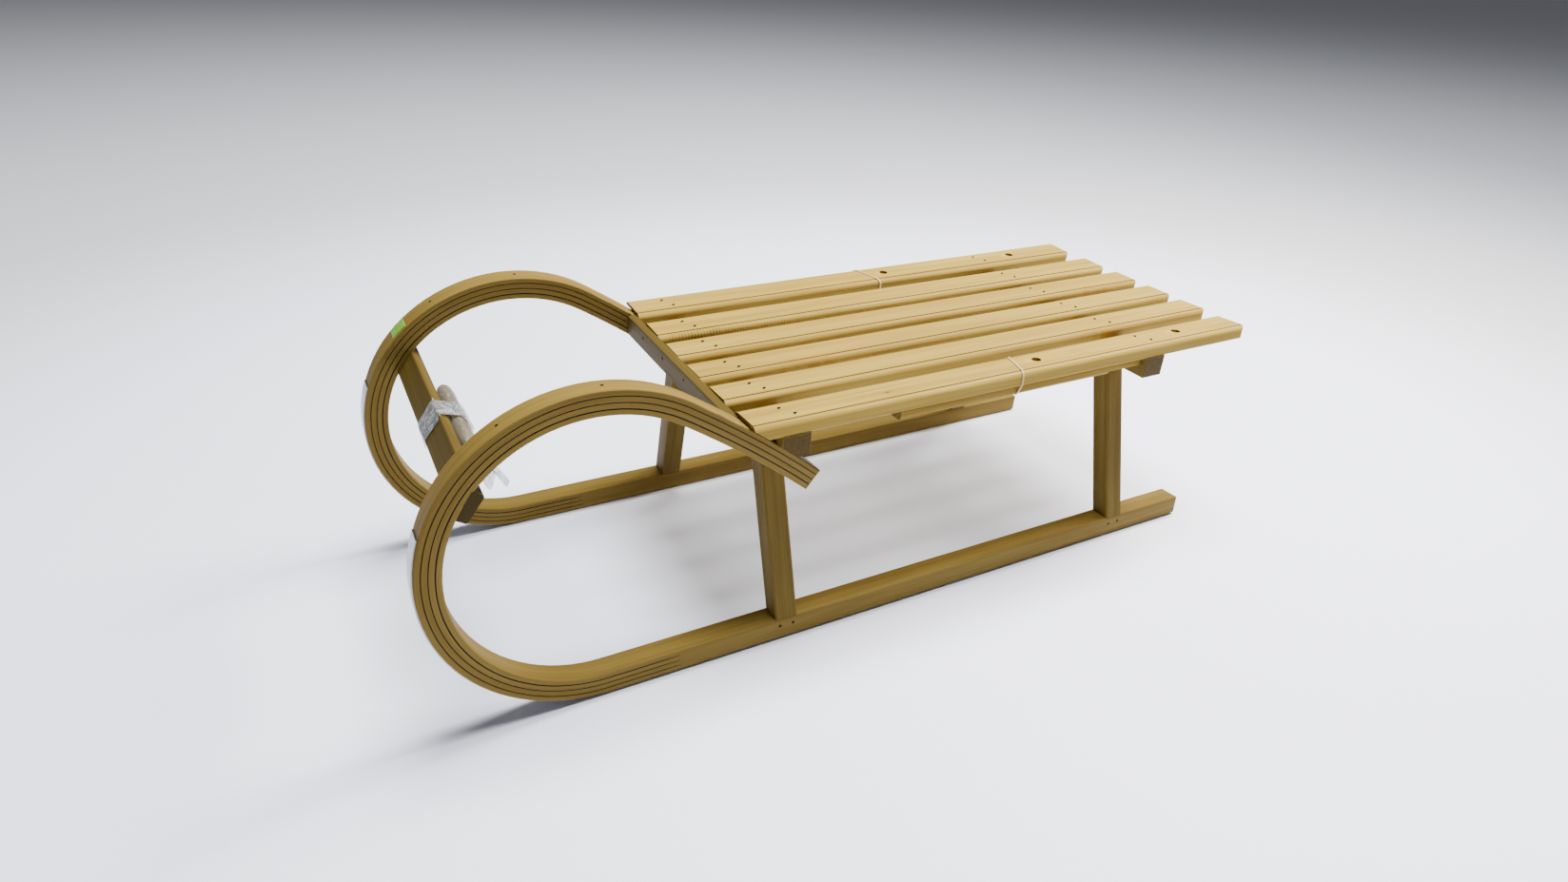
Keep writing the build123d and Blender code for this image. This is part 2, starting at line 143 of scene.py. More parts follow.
class StageSettings(bpy.types.PropertyGroup):
    floor: FloatVectorProperty(
        name="Floor", description="Pale floor round the sled",
        subtype="COLOR", size=3, default=(0.89, 0.905, 1.0), min=0, max=1,
    )
    # painted shade: the greyer colour the floor fades to further away, standing for the dimmer light far
    # from the lamps
    far_floor_shade: FloatVectorProperty(
        name="Backdrop", description="Greyer floor and wall further away",
        subtype="COLOR", size=3, default=(0.60, 0.60, 0.625), min=0, max=1,
    )
    far_shade_start: FloatProperty(
        name="Backdrop start", description="Distance at which the floor starts to grow greyer",
        subtype="DISTANCE", default=0.95, min=0.5, max=3,
    )
    key: FloatProperty(
        name="Key light", description="Light from above the sled's rear, in watts",
        default=150.0, min=0, max=2000,
    )
    lens: FloatProperty(
        name="Lens", description="Focal length in millimetres on a 36 mm wide sensor",
        default=21.64, min=8, max=200,
    )


# ---- node trees in few words ----
class Tree:
    """Builds a material's node tree, so that a pattern reads like a formula."""

    def __init__(self, name):
        self.material = bpy.data.materials.new(name)
        self.material.use_nodes = True
        self.nodes = self.material.node_tree.nodes
        self.links = self.material.node_tree.links
        self.shader = self.nodes["Principled BSDF"]
        self.place = self.add("ShaderNodeTexCoord").outputs["Object"]

    def add(self, kind, **settings):
        made = self.nodes.new(kind)
        for key, value in settings.items():
            setattr(made, key, value)
        return made

    def put(self, value, socket):
        if isinstance(value, bpy.types.NodeSocket):
            self.links.new(value, socket)
        else:
            socket.default_value = value

    def math(self, operation, *values, clamp=False):
        made = self.add("ShaderNodeMath", operation=operation, use_clamp=clamp)
        for value, socket in zip(values, made.inputs):
            self.put(value, socket)
        return made.outputs[0]

    def product(self, *values):
        out = values[0]
        for value in values[1:]:
            out = self.math("MULTIPLY", out, value)
        return out

    def split(self, vector):
        made = self.add("ShaderNodeSeparateXYZ")
        self.put(vector, made.inputs[0])
        return made.outputs[0], made.outputs[1], made.outputs[2]

    def join(self, x, y, z):
        made = self.add("ShaderNodeCombineXYZ")
        for value, socket in zip((x, y, z), made.inputs):
            self.put(value, socket)
        return made.outputs[0]

    def scaled(self, parts, scales):
        """A vector of three parts, each times its own number."""
        return self.join(*[self.math("MULTIPLY", part, scale) for part, scale in zip(parts, scales)])

    def distance(self, a, b):
        return self.math("SQRT", self.math("ADD", self.product(a, a), self.product(b, b)))

    def noise(self, vector, scale=1.0, detail=2.0, roughness=0.5, distortion=0.0):
        made = self.add("ShaderNodeTexNoise")
        self.put(vector, made.inputs["Vector"])
        made.inputs["Scale"].default_value = scale
        made.inputs["Detail"].default_value = detail
        made.inputs["Roughness"].default_value = roughness
        made.inputs["Distortion"].default_value = distortion
        return made.outputs["Fac"]

    def rise(self, value, low, high):
        """0 below low, 1 above high, smooth between."""
        made = self.add("ShaderNodeMapRange", interpolation_type="SMOOTHSTEP")
        self.put(value, made.inputs["Value"])
        made.inputs["From Min"].default_value = low
        made.inputs["From Max"].default_value = high
        return made.outputs["Result"]

    def window(self, value, low, high, soft):
        """1 between low and high, fading to 0 over soft on either side."""
        up = self.rise(value, low - soft, low)
        down = self.rise(value, high, high + soft)
        return self.math("SUBTRACT", up, down, clamp=True)

    def mix(self, share, a, b):
        made = self.add("ShaderNodeMix", data_type="RGBA")
        self.put(share, made.inputs["Factor"])
        for value, key in ((a, 6), (b, 7)):
            if not isinstance(value, bpy.types.NodeSocket):
                value = (*value[:3], 1.0)
            self.put(value, made.inputs[key])
        return made.outputs[2]

    def bump(self, height, strength, distance):
        made = self.add("ShaderNodeBump")
        made.inputs["Strength"].default_value = strength
        made.inputs["Distance"].default_value = distance
        self.put(height, made.inputs["Height"])
        self.put(made.outputs["Normal"], self.shader.inputs["Normal"])

    def finish(self, colour, roughness, metallic=0.0, coat=0.0, specular=0.5):
        self.put(colour if isinstance(colour, bpy.types.NodeSocket) else (*colour[:3], 1.0),
                 self.shader.inputs["Base Color"])
        self.put(roughness, self.shader.inputs["Roughness"])
        self.shader.inputs["Metallic"].default_value = metallic
        self.shader.inputs["Coat Weight"].default_value = coat
        self.shader.inputs["Coat Roughness"].default_value = 0.25
        self.shader.inputs["Specular IOR Level"].default_value = specular
        return self.material


def bar_coordinates(tree):
    """Length along a bent runner, distance across it and depth below its outside, in metres.
    Straight stretch: length is x and depth is height. Each curved stretch: depth is its radius less
    the distance from its centre, and length is its radius times the angle turned so far."""
    x, y, z = tree.split(tree.place)
    side = tree.math("SUBTRACT", tree.math("ABSOLUTE", y), FOOT_Y)
    height = tree.math("SUBTRACT", z, LIFT)
    up = tree.math("SUBTRACT", tree.math("MULTIPLY", height, math.cos(LEAN)),
                   tree.math("MULTIPLY", side, math.sin(LEAN)))
    across = tree.math("ADD", tree.math("MULTIPLY", height, math.sin(LEAN)),
                       tree.math("MULTIPLY", side, math.cos(LEAN)))
    centre = Vector((LOOP_X, LOOP_RADIUS))
    turns = ((LOOP_RADIUS, -math.pi / 2, CROWN_START), (CROWN_RADIUS, CROWN_START, CROWN_END),
             (TAIL_RADIUS, CROWN_END, math.pi))
    length, depth = x, up
    done, radius_before = LOOP_X, LOOP_RADIUS
    gate = 1.0
    for radius, first, last in turns:
        if done > LOOP_X:
            centre = centre + Vector((math.cos(first), math.sin(first))) * (radius_before - radius)
        dx = tree.math("SUBTRACT", x, centre.x)
        dz = tree.math("SUBTRACT", up, centre.y)
        reach = tree.distance(dx, dz)
        angle = tree.math("SUBTRACT", tree.math("ARCTAN2", dz, dx), first)
        new_length = tree.math("ADD", tree.math("MULTIPLY", angle, radius), done)
        new_depth = tree.math("SUBTRACT", radius, reach)
        gate = tree.math("MULTIPLY", tree.math("GREATER_THAN", angle, 0.0), gate)
        length = tree.math("ADD", tree.product(length, tree.math("SUBTRACT", 1.0, gate)),
                           tree.product(new_length, gate))
        depth = tree.math("ADD", tree.product(depth, tree.math("SUBTRACT", 1.0, gate)),
                          tree.product(new_depth, gate))
        done += radius * (last - first)
        radius_before = radius
    return length, across, depth


def straight_coordinates(tree, axis):
    """Length along a straight piece and the two distances across it."""
    x, y, z = tree.split(tree.place)
    if axis == "X":
        return x, y, z
    if axis == "Y":
        return y, x, z
    lean = tree.math("ABSOLUTE", y)
    along = tree.math("SUBTRACT", tree.math("MULTIPLY", z, math.cos(LEG_SPLAY)),
                      tree.math("MULTIPLY", lean, math.sin(LEG_SPLAY)))
    across = tree.math("ADD", tree.math("MULTIPLY", z, math.sin(LEG_SPLAY)),
                       tree.math("MULTIPLY", lean, math.cos(LEG_SPLAY)))
    return along, across, x


def wood(name, axis, settings, painted_shade_factor=1.0, warmth=0.0, marks=None, seed=0.0):
    """Varnished beech: long streaks, fine pores and short flecks that run along the piece, and
    darker speckled end grain where a face looks along it."""
    tree = Tree(name)
    bent = axis == "BAR"
    along, a, b = bar_coordinates(tree) if bent else straight_coordinates(tree, axis)
    shifted = tree.math("ADD", along, seed)

    def stretched(along_scale, across_scale):
        return tree.scaled((shifted, a, b), (along_scale, across_scale, across_scale))

    broad = tree.noise(stretched(2.2, 55.0), detail=3.0, roughness=0.55, distortion=0.6)
    fine = tree.noise(stretched(9.0, 520.0), detail=2.0, roughness=0.6)
    fleck = tree.noise(stretched(150.0, 1500.0), detail=1.0)
    patch = tree.noise(stretched(3.0, 12.0), detail=1.0)
    streak = tree.math("ADD", tree.math("MULTIPLY", tree.rise(broad, 0.36, 0.66), 0.62),
                       tree.math("MULTIPLY", tree.rise(fine, 0.38, 0.64), 0.38))
    # painted shade: this factor darkens both wood colours of a whole piece that sits in shade; 1.0 leaves
    # them unchanged
    light = [min(1.0, c * painted_shade_factor) for c in settings.light]
    dark = [c * painted_shade_factor for c in settings.dark]
    light[2] *= 1 - warmth
    dark[2] *= 1 - warmth
    colour = tree.mix(streak, light, dark)
    slow = tree.noise(stretched(1.1, 16.0), detail=0.5)
    ring = tree.math("SINE", tree.math("MULTIPLY", slow, 70.0))
    colour = tree.mix(tree.math("MULTIPLY", tree.rise(ring, 0.55, 1.0), 0.20), colour, dark)
    colour = tree.mix(tree.math("MULTIPLY", tree.rise(fleck, 0.66, 0.74), 0.35), colour,
                      [c * 0.55 for c in dark])
    colour = tree.mix(tree.math("MULTIPLY", tree.rise(patch, 0.42, 0.70), 0.22), colour,
                      [light[0] * 0.80, light[1] * 0.74, light[2] * 0.62])
    if not bent:
        facing = tree.split(tree.add("ShaderNodeNewGeometry").outputs["True Normal"])
        end = facing["XYZ".index(axis)]
        end = tree.rise(tree.math("ABSOLUTE", end), 0.75, 0.92)
        speckle = tree.noise(tree.place, scale=900.0, detail=2.0)
        pores = tree.rise(speckle, 0.35, 0.65)
        end_colour = tree.mix(pores, [c * 0.80 for c in dark], [c * 0.50 for c in dark])
        colour = tree.mix(end, colour, end_colour)
    else:
        # dark glue lines between the leaves, from just behind the bend to the horn's end
        step = BAR_HEIGHT / 4
        lines = None
        wander = tree.math("MULTIPLY", tree.math("SUBTRACT", patch, 0.5), 0.0004)
        sunk = tree.math("ADD", b, wander)
        for leaf, half in ((1, 0.00042), (2, 0.00040), (3, 0.00060)):
            line = tree.window(sunk, leaf * step - half, leaf * step + half, 0.00025)
            lines = line if lines is None else tree.math("MAXIMUM", lines, line)
        reach = tree.rise(along, LOOP_X - KERF_LEAD, LOOP_X - KERF_LEAD + 0.024)
        colour = tree.mix(tree.product(lines, reach, 0.95), colour, settings.line)
    if marks:
        colour = marks(tree, colour, light, dark)
    height = tree.math("ADD", tree.math("MULTIPLY", fine, 0.6), tree.math("MULTIPLY", fleck, -0.4))
    tree.bump(height, 0.18, 0.0004)
    gloss = tree.math("ADD", tree.math("MULTIPLY", streak, 0.10), settings.roughness - 0.05)
    return tree.finish(colour, gloss, specular=0.10)


def slat_marks(tree, colour, light, dark):
    """Painted shade lines at the steps along the edges, planer chatter, amber patches, one small knot,
    the nails' slits painted dark as shade, and the splintered rims of the peg holes."""
    x, y, z = tree.split(tree.place)

    def edge_of(slat, depth):
        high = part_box(slat)[1].y
        return tree.window(y, high - depth, high + 0.001, 0.001)

    top = tree.rise(z, SEAT_HIGH.z - 0.006, SEAT_HIGH.z - 0.004)
    # painted shade: a thin dark line along both edge steps of every slat, where the step's shade falls
    for number in range(1, 7):
        low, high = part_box(f"seat_slat_{number}")
        for shaded_step_y in (low.y + QUIRK_INSET, high.y - QUIRK_INSET):
            line = tree.window(y, shaded_step_y - 0.0003, shaded_step_y + 0.0003, 0.0005)
            colour = tree.mix(tree.product(line, top, 0.80), colour, [c * 0.30 for c in dark])
    stripes = tree.math("SINE", tree.math("MULTIPLY", x, 2 * math.pi / 0.0042))
    stripes = tree.rise(stripes, -0.2, 0.6)
    uneven = tree.scaled((x, y, 0.0), (60.0, 300.0, 0.0))
    worn = tree.rise(tree.noise(uneven, detail=2.0), 0.40, 0.60)
    chatter = (("seat_slat_2", 0.312, 0.494, 0.40), ("seat_slat_2", 0.494, 0.548, 0.75),
               ("seat_slat_4", 0.156, 0.338, 0.28))
    for slat, first, last, strength in chatter:
        run = tree.window(x, NAIL_ROW_X + first, NAIL_ROW_X + last, 0.012)
        mask = tree.product(run, edge_of(slat, 0.0075), stripes, strength)
        colour = tree.mix(tree.product(mask, tree.math("ADD", tree.math("MULTIPLY", worn, 0.5), 0.5)),
                          colour, [c * 0.42 for c in dark])
    amber = (light[0] * 0.74, light[1] * 0.55, light[2] * 0.30)
    for slat, first, last in (("seat_slat_3", -0.104, -0.068), ("seat_slat_5", 0.0, 0.052),
                              ("seat_slat_4", 0.40, 0.46)):
        run = tree.window(x, NAIL_ROW_X + first, NAIL_ROW_X + last, 0.014)
        colour = tree.mix(tree.product(run, edge_of(slat, 0.010), worn, 0.75), colour, amber)
    knot_x, knot_y = NAIL_ROW_X + 0.398, 0.174
    along = tree.math("DIVIDE", tree.math("SUBTRACT", x, knot_x), 1.6)
    away = tree.distance(along, tree.math("SUBTRACT", y, knot_y))
    halo = tree.math("SUBTRACT", 1.0, tree.rise(away, 0.0015, 0.0060))
    heart = tree.math("SUBTRACT", 1.0, tree.rise(away, 0.0009, 0.0019))
    colour = tree.mix(tree.product(halo, top, 0.45), colour, [c * 0.75 for c in dark])
    colour = tree.mix(tree.product(heart, top, 0.85), colour, [c * 0.25 for c in dark])
    # painted shade: over each sunk nail a short dark slit, aslant to the grain, stands for the shade in its
    # hole
    for slat in range(1, 7):
        low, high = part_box(f"seat_slat_{slat}")
        for station in ("yoke_rear", "yoke_front"):
            middle = (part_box(station)[0].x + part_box(station)[1].x) / 2
            for side in (-1, 1):
                dx = tree.math("SUBTRACT", x, middle + side * NAIL_STAGGER)
                dy = tree.math("SUBTRACT", y, (low.y + high.y) / 2 - side * NAIL_OFFSET)
                long = tree.math("DIVIDE", tree.math("ADD", dx, dy), 0.0056)
                short = tree.math("DIVIDE", tree.math("SUBTRACT", dx, dy), 0.0022)
                off = tree.math("ADD", tree.product(long, long), tree.product(short, short))
                nail_hole_shade = tree.math("SUBTRACT", 1.0, tree.rise(off, 0.6, 1.3))
                colour = tree.mix(tree.product(nail_hole_shade, top, 0.9), colour, [c * 0.16 for c in dark])
    # pale splinters just in front of the peg holes
    for hole_x in (0.181, -0.055):
        for hole_y in (0.167, -0.167):
            dx = tree.math("SUBTRACT", x, NAIL_ROW_X + hole_x + 0.007)
            dy = tree.math("SUBTRACT", y, hole_y)
            off = tree.distance(tree.math("DIVIDE", dx, 1.9), dy)
            rim = tree.math("SUBTRACT", 1.0, tree.rise(off, 0.0040, 0.0064))
            fibres = tree.scaled((x, y, 0.0), (180.0, 1400.0, 0.0))
            torn = tree.rise(tree.noise(fibres, detail=2.0), 0.42, 0.55)
            colour = tree.mix(tree.product(rim, top, torn, 0.8), colour,
                              [min(1.0, light[0] * 1.18), min(1.0, light[1] * 1.2), light[2] * 1.45])
    return colour


def paint(material, *names):
    for name in names:
        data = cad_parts[name].data
        data.materials.clear()
        data.materials.append(material)


# ---- surfaces ----
def grid_mesh(name, points, material, close_u=False, close_v=False, caps=False):
    """A mesh over a grid of points, shape (rows, columns, 3). close_u joins the last row to the
    first and close_v the last column to the first. caps close the end rows with a face each."""
    rows, columns = points.shape[:2]
    index = np.arange(rows * columns).reshape(rows, columns)
    right = np.roll(index, -1, axis=1)
    down = np.roll(index, -1, axis=0)
    both = np.roll(down, -1, axis=1)
    quads = np.stack([index, right, both, down], axis=-1)
    quads = quads[: rows if close_u else rows - 1, : columns if close_v else columns - 1]
    faces = quads.reshape(-1, 4).tolist()
    if caps:
        faces.append(index[0, ::-1].tolist())
        faces.append(index[-1].tolist())
    mesh = bpy.data.meshes.new(name)
    mesh.from_pydata(points.reshape(-1, 3).tolist(), [], faces)
    mesh.validate()
    mesh.polygons.foreach_set("use_smooth", np.ones(len(mesh.polygons), bool))
    mesh.materials.append(material)
    made = bpy.data.objects.new(name, mesh)
    bpy.context.scene.collection.objects.link(made)
    return made


def surface(name, points, material, slot, node=(), **joined):
    """A piece made of one grid, which rides on the sled and may stand for a CAD node."""
    made = grid_mesh(name, points, material, **joined)
    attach(made, "root")
    if node:
        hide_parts(*node)
    return made


def outward(made):
    """Turns every face of a closed piece outwards."""
    work = bmesh.new()
    work.from_mesh(made.data)
    bmesh.ops.recalc_face_normals(work, faces=work.faces)
    work.to_mesh(made.data)
    work.free()
    return made


def wrapped(outline, turns):
    """Points and outward directions of a taut loop round an outline of 2-D points: for each
    direction, the outline's furthest point along it."""
    direction = np.stack([np.cos(turns), np.sin(turns)], axis=-1)
    furthest = np.argmax(direction @ outline.T, axis=1)
    return outline[furthest], direction


def arc(centre, radius, count=48):
    turn = np.linspace(0, 2 * np.pi, count, endpoint=False)
    return np.stack([centre[0] + radius * np.cos(turn), centre[1] + radius * np.sin(turn)], axis=-1)


def ripple(points, seed, size):
    """A smooth, repeatable unevenness: a sum of sines in three directions over the points."""
    maker = np.random.default_rng(seed)
    out = np.zeros(points.shape[:-1])
    for octave in range(5):
        for _ in range(3):
            way = maker.normal(size=3)
            way /= np.linalg.norm(way)
            out += np.sin(points @ way * (2 ** octave) / size + maker.uniform(0, 6.28)) / 1.7 ** octave
    return out / 5


def loop_point(angle, depth, across, side):
    """A point on a loop: angle above its front, depth below its outside, distance across the bar
    from its outer face, on the left (1) or the right (-1) of the sled."""
    x = LOOP_X + (LOOP_RADIUS - depth) * np.cos(angle)
    up = LOOP_RADIUS + (LOOP_RADIUS - depth) * np.sin(angle)
    y = FOOT_Y - across * math.cos(LEAN) - up * math.sin(LEAN)
    z = LIFT - across * math.sin(LEAN) + up * math.cos(LEAN)
    return np.stack(np.broadcast_arrays(x, side * y, z), axis=-1)


# ---- operators, one for each piece or group of like pieces ----
class TOBOGGAN_OT_runners(bpy.types.Operator):
    """Varnished, laminated runners with dark glue lines"""
    bl_idname = "toboggan.runners"
    bl_label = "Runners"

    def execute(self, context):
        # painted shade: the runners' wood is darkened to 0.54 of the seat's to stand for their shade
        paint(wood("bent_beech", "BAR", context.scene.toboggan_wood, painted_shade_factor=0.54, warmth=-0.12),
              "runner_left", "runner_right")
        return {"FINISHED"}


class TOBOGGAN_OT_seat(bpy.types.Operator):
    """Seat slats with their planer chatter, knot and splintered holes"""
    bl_idname = "toboggan.seat"
    bl_label = "Seat slats"

    def execute(self, context):
        settings = context.scene.toboggan_wood
        slats = [f"seat_slat_{number}" for number in range(1, 7)]
        paint(wood("slat_beech", "X", settings, painted_shade_factor=1.0, marks=slat_marks), *slats)
        return {"FINISHED"}


class TOBOGGAN_OT_frame(bpy.types.Operator):
    """Legs, yokes, front strip, crossbar and stowed posts"""
    bl_idname = "toboggan.frame"
    bl_label = "Frame"

    def execute(self, context):
        settings = context.scene.toboggan_wood
        legs = [f"leg_{end}_{side}" for end in ("rear", "front") for side in ("left", "right")]
        # painted shade: the legs, yokes and posts under the seat, and the front strip and crossbar whose
        # faces turn from the light, get darker wood for their shade
        for name, axis, painted_shade_factor, warmth, seed, pieces in (
            ("leg_beech", "Z", 0.40, -0.05, 3.1, legs),
            ("yoke_beech", "Y", 0.40, -0.10, 5.7, ["yoke_rear", "yoke_front"]),
            ("cross_beech", "Y", 0.24, 0.05, 8.3, ["front_strip", "front_crossbar"]),
            ("post_beech", "X", 0.80, 0.0, 11.9, ["backrest_post_left", "backrest_post_right"]),
        ):
            paint(wood(name, axis, settings, painted_shade_factor=painted_shade_factor, warmth=warmth, seed=seed), *pieces)
        return {"FINISHED"}


class TOBOGGAN_OT_steel(bpy.types.Operator):
    """Steel shoes and screws, and dark sunk nails"""
    bl_idname = "toboggan.steel"
    bl_label = "Steel"

    def execute(self, context):
        settings = context.scene.toboggan_trim
        shoe = Tree("shoe_steel")
        scratch = shoe.noise(shoe.scaled(shoe.split(shoe.place), (8.0, 900.0, 8.0)), detail=3.0)
        shoe.bump(scratch, 0.10, 0.0002)
        paint(shoe.finish(settings.steel, shoe.math("ADD", shoe.math("MULTIPLY", scratch, 0.2), 0.22),
                          metallic=1.0), "shoe_left", "shoe_right")
        screw = Tree("screw_steel")
        paint(screw.finish(settings.steel, 0.3, metallic=1.0), "shoe_screws", "horn_screws")
        nail = Tree("nail_steel")
        paint(nail.finish(settings.nail, 0.8, specular=0.1),
              "slat_nails", "foot_nails", "horn_nails", "crossbar_nails", "strip_nails")
        return {"FINISHED"}


class TOBOGGAN_OT_elastics(bpy.types.Operator):
    """Elastic bands, pulled taut round an outermost slat and its post"""
    bl_idname = "toboggan.elastics"
    bl_label = "Elastic bands"

    def execute(self, context):
        settings = context.scene.toboggan_trim
        rubber = Tree("elastic_rubber")
        rubber.bump(rubber.noise(rubber.place, scale=700.0), 0.2, 0.0002)
        material = rubber.finish(settings.rubber, 0.55)
        for side, post, slat, skew in ((1, "backrest_post_left", "seat_slat_6", 0.014),
                                       (-1, "backrest_post_right", "seat_slat_1", 0.015)):
            band = "elastic_band_left" if side > 0 else "elastic_band_right"
            middle = (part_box(band)[0].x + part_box(band)[1].x) / 2
            slat_points = self.section(slat, side)
            post_points = self.section(post, side)
            outline = np.concatenate([slat_points, post_points])
            turns = np.linspace(0, 2 * np.pi, 160, endpoint=False)
            hull, direction = wrapped(outline, turns)
            centre = (outline[:, 0].min() + outline[:, 0].max()) / 2
            half = 0.0013
            inner = 0.0001
            outer = inner + settings.band_thickness
            rows = []
            for offset, along in ((inner, -half), (outer, -half), (outer, half), (inner, half)):
                spot = hull + direction * offset
                slant = (spot[:, 0] - centre) / 0.045 * skew
                rows.append(np.stack([middle + along + slant, side * spot[:, 0], spot[:, 1]], axis=-1))
            points = np.stack(rows, axis=1)
            made = surface(band + "_taut", points, material, "rubber_band", node=(band,),
                           close_u=True, close_v=True)
            outward(made)
        return {"FINISHED"}

    def section(self, name, side):
        """Every corner of a piece seen along the sled, as (distance out, height)."""
        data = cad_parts[name].data
        flat = np.zeros(len(data.vertices) * 3)
        data.vertices.foreach_get("co", flat)
        spots = flat.reshape(-1, 3)
        return np.stack([side * spots[:, 1], spots[:, 2]], axis=-1)


class TOBOGGAN_OT_cord_bag(bpy.types.Operator):
    """Folded cord in a clear film bag, tied behind the crossbar with torn film"""
    bl_idname = "toboggan.cord_bag"
    bl_label = "Cord bag"

    def execute(self, context):
        settings = context.scene.toboggan_film
        low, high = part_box("cord_bag")
        centre = np.array([(low.x + high.x) / 2, 0.0, (low.z + high.z) / 2])
        radius = (high.z - low.z) / 2
        half = (high.y - low.y) / 2
        bag = Tree("bagged_cord")
        spot = bag.split(bag.place)
        strands = bag.noise(bag.scaled(spot, (330.0, 22.0, 330.0)), detail=2.0, distortion=0.4)
        crease = bag.noise(bag.scaled(spot, (120.0, 90.0, 120.0)), detail=5.0, roughness=0.7, distortion=1.2)
        colour = bag.mix(bag.rise(strands, 0.35, 0.65), [c * 0.72 for c in settings.cord], settings.cord)
        # partly painted highlight: along the crease ridges the cord is paled towards the film's grey, for
        # the film's own grey and the sheen on its folds
        colour = bag.mix(bag.math("MULTIPLY", bag.rise(crease, 0.56, 0.70), 0.55), colour, settings.tint)
        bag.bump(crease, 0.5, 0.0015)
        material = bag.finish(colour, 0.32, coat=0.6)
        # the roll: a round bar with plump ends, whose radius swells and creases gently
        t = np.linspace(0, 1, 90)
        along = np.sin((t - 0.5) * np.pi) * half
        ends = np.clip(1 - np.abs(along / half) ** 7, 0, 1) ** 0.5
        turn = np.linspace(0, 2 * np.pi, 56, endpoint=False)
        body = np.maximum(ends, 0.02)[:, None] * np.ones_like(turn)[None]
        grid = np.stack([np.cos(turn)[None] * body, along[:, None] / radius * np.ones_like(body),
                         np.sin(turn)[None] * body], axis=-1) * radius
        swell = ripple(grid, 4, 0.014)
        shape = radius * (0.93 + 0.05 * swell)
        spots = np.stack([centre[0] + shape * np.cos(turn)[None] * body,
                          along[:, None] * np.ones_like(body),
                          centre[2] + shape * np.sin(turn)[None] * body], axis=-1)
        made = surface("bagged_cord", spots, material, "bag_film", node=("cord_bag",),
                       close_v=True, caps=True)
        outward(made)
        self.film(settings, centre, radius, half)
        return {"FINISHED"}

    def film(self, settings, centre, radius, half):
        """Torn clear film: a sleeve round the crossbar and the roll, and a tail at the roll's end."""
        film = Tree("clear_film")
        crease = film.noise(film.place, scale=95.0, detail=5.0, roughness=0.72, distortion=1.6)
        # painted shade: the film is darkened to under half its tint in the hollows of its creases
        crease_shade = [c * 0.45 for c in settings.tint]
        colour = film.mix(film.rise(crease, 0.40, 0.62), crease_shade, settings.tint)
        film.put(film.math("ADD", film.math("MULTIPLY", film.rise(crease, 0.42, 0.66), 0.42), 0.30),
                 film.shader.inputs["Alpha"])
        film.bump(crease, 0.7, 0.002)
        material = film.finish(colour, 0.18, coat=0.5)
        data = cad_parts["front_crossbar"].data
        flat = np.zeros(len(data.vertices) * 3)
        data.vertices.foreach_get("co", flat)
        bar = flat.reshape(-1, 3)[:, (0, 2)]
        outline = np.concatenate([bar, arc((centre[0], centre[2]), radius)])
        turns = np.linspace(0, 2 * np.pi, 120, endpoint=False)
        hull, direction = wrapped(outline, turns)
        share = np.linspace(0, 1, 22)
        edge_low = -0.012 + 0.006 * np.sin(3 * turns + 0.8) + 0.004 * np.sin(7 * turns)
        edge_high = 0.030 + 0.008 * np.sin(2 * turns + 2.0) + 0.004 * np.sin(9 * turns + 1.0)
        width = edge_low[None] + (edge_high - edge_low)[None] * share[:, None]
        grid = np.stack([np.broadcast_to(hull[:, 0], width.shape), width,
                         np.broadcast_to(hull[:, 1], width.shape)], axis=-1)
        puff = 0.0007 + 0.0006 * (ripple(grid, 9, 0.006) + 1)
        sleeve = grid.copy()
        sleeve[..., 0] += direction[None, :, 0] * puff
        sleeve[..., 2] += direction[None, :, 1] * puff
        made = surface("film_sleeve", sleeve, material, "bag_film", close_v=True)
        self.thicken(made)
        # the tail comes out of the roll's left end and droops in ragged tongues
        side = np.linspace(-1, 1, 40)
        fall = np.linspace(0, 1, 30)[:, None]
        reach = settings.tail_length * (0.6 + 0.4 * np.abs(np.sin(3.0 * side + 0.6)))[None]
        spread = side[None] * (0.006 + 0.010 * fall)
        tail = np.stack([centre[0] - 0.016 * fall + spread, half - 0.006 + 0.6 * reach * fall,
                         centre[2] - 0.35 * radius - 0.65 * reach * fall], axis=-1)
        tail[..., 0] += 0.0035 * ripple(tail, 21, 0.008) * fall
        made = surface("film_tail", tail, material, "bag_film")
        self.thicken(made)

    def thicken(self, made):
        wall = made.modifiers.new("film", "SOLIDIFY")
        wall.thickness = 0.00012
        wall.offset = 0.0


class TOBOGGAN_OT_sticker(bpy.types.Operator):
    """Blank green sticker on the right horn"""
    bl_idname = "toboggan.sticker"
    bl_label = "Sticker"

    def execute(self, context):
        settings = context.scene.toboggan_trim
        paper = Tree("sticker_paper")
        mottle = paper.noise(paper.place, scale=260.0, detail=2.0)
        bright = [c * 1.5 for c in settings.sticker]
        colour = paper.mix(paper.rise(mottle, 0.35, 0.65), settings.sticker, bright)
        material = paper.finish(colour, 0.35, coat=0.3)
        half_angle = settings.sticker_size / 2 / LOOP_RADIUS
        angle = STICKER_ANGLE + np.linspace(-half_angle, half_angle, 16)[:, None]
        across = BAR_WIDTH / 2 + np.linspace(-0.5, 0.5, 12)[None] * settings.sticker_size
        spots = loop_point(angle, -0.00025, across, -1)
        made = surface("sticker", spots, material, "bag_film")
        wall = made.modifiers.new("paper", "SOLIDIFY")
        wall.thickness = 0.0002
        wall.offset = 0.0
        return {"FINISHED"}


